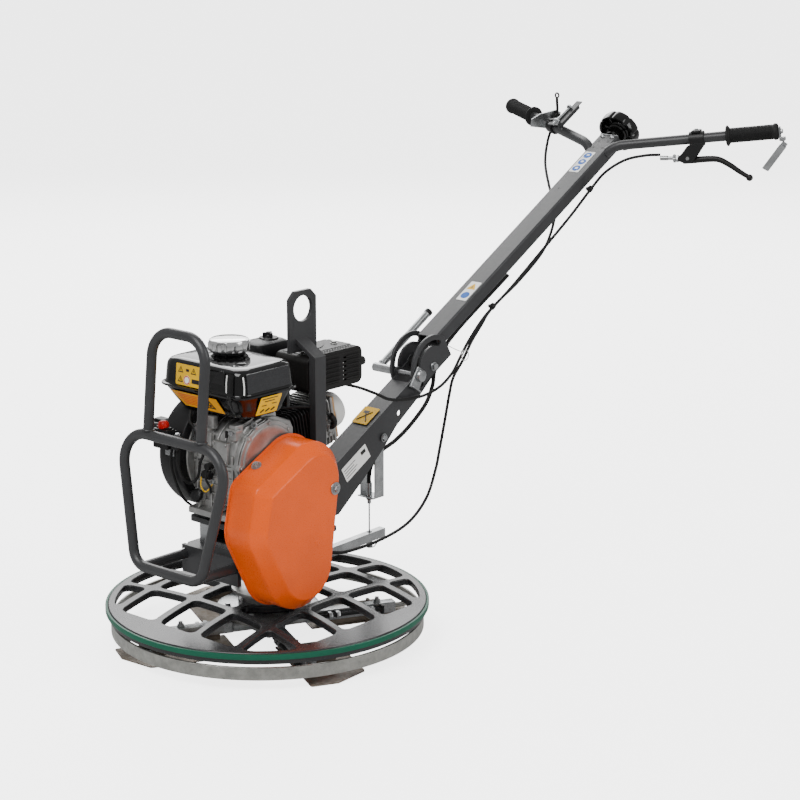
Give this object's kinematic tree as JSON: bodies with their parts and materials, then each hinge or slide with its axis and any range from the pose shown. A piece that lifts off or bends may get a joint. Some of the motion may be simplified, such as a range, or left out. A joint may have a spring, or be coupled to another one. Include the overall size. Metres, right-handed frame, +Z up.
{
  "type": "power trowel",
  "caption": "Walk-behind edging power trowel: four-blade rotor under a free-turning guard ring, belt-driven worm gearbox, small engine and folding handle.",
  "frame": {"origin": "on the floor, on the rotor axis", "axes": "+X back to the operator, -Y the belt side of the engine, +Z up"},
  "size_m": [1.5417, 0.7575, 0.9331],
  "materials": {
    "frame_paint": "semi-gloss anthracite paint, dusty",
    "orange_paint": "gloss orange paint",
    "zinc": "zinc plated",
    "cast_alloy": "sand cast",
    "bearing_steel": "ground",
    "bronze": "machined bronze",
    "blade_steel": "brown mill finish with dust",
    "black_plastic": "moulded",
    "gloss_black": "moulded gloss",
    "black_rubber": "moulded rubber",
    "green_band": "green enamel",
    "red_plastic": "moulded",
    "black_metal": "heat-resistant black paint",
    "chrome": "plated"
  },
  "bodies": {
    "frame": {"chassis_plate": "frame_paint", "front_hoop": "frame_paint", "engine_stand": "zinc", "engine_plate": "frame_paint", "lifting_bail": "frame_paint", "gearbox_housing": "cast_alloy", "gearbox_lid": "cast_alloy", "bearings": "bearing_steel", "ring_carrier": "cast_alloy", "yoke_bracket": "frame_paint", "belt_back_plate": "frame_paint", "belt_cover": "orange_paint", "cover_bolts": "zinc", "drive_belt": "black_rubber", "crankcase": "cast_alloy", "engine_side_cover": "cast_alloy", "finned_cylinder": "black_metal", "cylinder_head": "cast_alloy", "rocker_cover": "cast_alloy", "fuel_tank": "gloss_black", "muffler": "black_metal", "muffler_guard": "black_metal", "air_intake": "black_plastic", "fan_shroud": "black_plastic", "recoil_housing": "black_plastic", "lower_arm": "frame_paint", "cable_bracket": "zinc", "joint_bolts": "zinc", "lower_cables": "black_rubber"},
    "rotor": {"rotor_shaft": "bearing_steel", "worm_wheel": "bronze", "spider_hub": "zinc", "stabiliser_ring": "zinc"},
    "blade_arm_a": {"blade_arm_1": "blade_steel"},
    "blade_arm_b": {"blade_arm_2": "blade_steel"},
    "blade_arm_c": {"blade_arm_3": "blade_steel"},
    "blade_arm_d": {"blade_arm_4": "blade_steel"},
    "thrust_sleeve": {"thrust_sleeve": "zinc"},
    "guard_ring": {"guard_plate": "frame_paint", "guard_band": "green_band"},
    "worm_shaft": {"worm_shaft": "bearing_steel"},
    "crankshaft": {"crankshaft": "bearing_steel"},
    "idler": {"idler_arm": "zinc"},
    "yoke": {"yoke_lever": "zinc"},
    "pitch_wire": {"pitch_wire": "zinc"},
    "handle": {"upper_tube": "frame_paint", "hinge_plates": "frame_paint", "handlebars": "frame_paint", "grips": "black_rubber", "lever_clamps": "zinc", "upper_cables": "black_rubber"},
    "pitch_knob": {"pitch_knob": "black_plastic"},
    "pitch_nut": {"pitch_nut": "zinc"},
    "clutch_lever": {"clutch_lever": "black_metal"},
    "throttle_lever": {"throttle_lever": "black_metal"},
    "lever_catch": {"lever_catch": "zinc"},
    "clamp_lever": {"clamp_lever": "zinc"},
    "fuel_cap": {"fuel_cap": "chrome"},
    "stop_switch": {"stop_switch": "red_plastic"},
    "starter_handle": {"starter_handle": "black_plastic"}
  },
  "joints": [
    {"name": "rotor_spin", "type": "hinge", "parent": "frame", "child": "rotor", "pos_m": [0, 0, 0.1], "axis": [0, 0, 1], "continuous": true},
    {"name": "blade_pitch_a", "type": "hinge", "parent": "rotor", "child": "blade_arm_a", "pos_m": [0.13244, -0.07042, 0.024], "axis": [0.8829, -0.4695, 0], "range_deg": [0, 12]},
    {"name": "blade_pitch_b", "type": "hinge", "parent": "rotor", "child": "blade_arm_b", "pos_m": [0.07042, 0.13244, 0.024], "axis": [0.4695, 0.8829, 0], "range_deg": [0, 12]},
    {"name": "blade_pitch_c", "type": "hinge", "parent": "rotor", "child": "blade_arm_c", "pos_m": [-0.13244, 0.07042, 0.024], "axis": [-0.8829, 0.4695, 0], "range_deg": [0, 12]},
    {"name": "blade_pitch_d", "type": "hinge", "parent": "rotor", "child": "blade_arm_d", "pos_m": [-0.07042, -0.13244, 0.024], "axis": [-0.4695, -0.8829, 0], "range_deg": [0, 12]},
    {"name": "thrust_slide", "type": "slide", "parent": "rotor", "child": "thrust_sleeve", "axis": [0, 0, -1], "range_m": [0, 0.0052]},
    {"name": "guard_spin", "type": "hinge", "parent": "frame", "child": "guard_ring", "pos_m": [0, 0, 0.067], "axis": [0, 0, 1], "continuous": true},
    {"name": "worm_spin", "type": "hinge", "parent": "frame", "child": "worm_shaft", "pos_m": [-0.065, 0, 0.168], "axis": [0, 1, 0], "continuous": true},
    {"name": "crank_spin", "type": "hinge", "parent": "frame", "child": "crankshaft", "pos_m": [-0.07, 0, 0.378], "axis": [0, 1, 0], "continuous": true},
    {"name": "idler_swing", "type": "hinge", "parent": "frame", "child": "idler", "pos_m": [-0.131, -0.1, 0.337], "axis": [0, -1, 0], "range_deg": [0, 7]},
    {"name": "yoke_swing", "type": "hinge", "parent": "frame", "child": "yoke", "pos_m": [0.055, 0, 0.1123], "axis": [0, -1, 0], "range_deg": [0, 5.43]},
    {"name": "pitch_wire_slide", "type": "slide", "parent": "frame", "child": "pitch_wire", "axis": [0, 0, 1], "range_m": [0, 0.0228]},
    {"name": "handle_fold", "type": "hinge", "parent": "frame", "child": "handle", "pos_m": [0.46, 0, 0.457], "axis": [0, -1, 0], "range_deg": [-22, 105]},
    {"name": "knob_turn", "type": "hinge", "parent": "handle", "child": "pitch_knob", "pos_m": [1.13353, 0, 0.87095], "axis": [0.8712, 0, 0.4909], "range_deg": [0, 2160]},
    {"name": "pitch_nut_slide", "type": "slide", "parent": "handle", "child": "pitch_nut", "axis": [0.8712, 0, 0.4909], "range_m": [0, 0.0228]},
    {"name": "clutch_squeeze", "type": "hinge", "parent": "handle", "child": "clutch_lever", "pos_m": [1.13276, -0.18898, 0.82953], "axis": [-0.9153, -0.4027, -0.0002], "range_deg": [0, 20]},
    {"name": "throttle_swing", "type": "hinge", "parent": "handle", "child": "throttle_lever", "pos_m": [1.15471, 0.18922, 0.88512], "axis": [0.3995, 0.908, 0.1262], "range_deg": [0, 40]},
    {"name": "catch_swing", "type": "hinge", "parent": "handle", "child": "lever_catch", "pos_m": [1.21468, -0.37519, 0.8786], "axis": [0.9153, 0.4027, 0.0002], "range_deg": [-60, 15]},
    {"name": "clamp_turn", "type": "hinge", "parent": "frame", "child": "clamp_lever", "pos_m": [0.41169, 0, 0.447], "axis": [0, 1, 0], "range_deg": [-30, 60]},
    {"name": "cap_turn", "type": "hinge", "parent": "frame", "child": "fuel_cap", "pos_m": [-0.068, 0.024, 0.58], "axis": [0, 0, 1], "range_deg": [0, 90]},
    {"name": "switch_press", "type": "slide", "parent": "frame", "child": "stop_switch", "axis": [0, 0, -1], "range_m": [0, 0.003]},
    {"name": "starter_pull", "type": "slide", "parent": "frame", "child": "starter_handle", "axis": [-1, 0, 0], "range_m": [0, 0.05]}
  ],
  "couplings": [
    {"joint": "worm_spin", "follows": "rotor_spin", "ratio": -30},
    {"joint": "blade_pitch_a", "follows": "knob_turn", "ratio": 0.00555},
    {"joint": "blade_pitch_b", "follows": "knob_turn", "ratio": 0.00555},
    {"joint": "blade_pitch_c", "follows": "knob_turn", "ratio": 0.00555},
    {"joint": "blade_pitch_d", "follows": "knob_turn", "ratio": 0.00555},
    {"joint": "thrust_slide", "follows": "knob_turn", "m_per_rad": 0.0001378},
    {"joint": "yoke_swing", "follows": "knob_turn", "ratio": 0.0025114},
    {"joint": "pitch_wire_slide", "follows": "knob_turn", "m_per_rad": 0.00060418},
    {"joint": "pitch_nut_slide", "follows": "knob_turn", "m_per_rad": 0.00060418},
    {"joint": "idler_swing", "follows": "clutch_squeeze", "ratio": 0.34965}
  ]
}
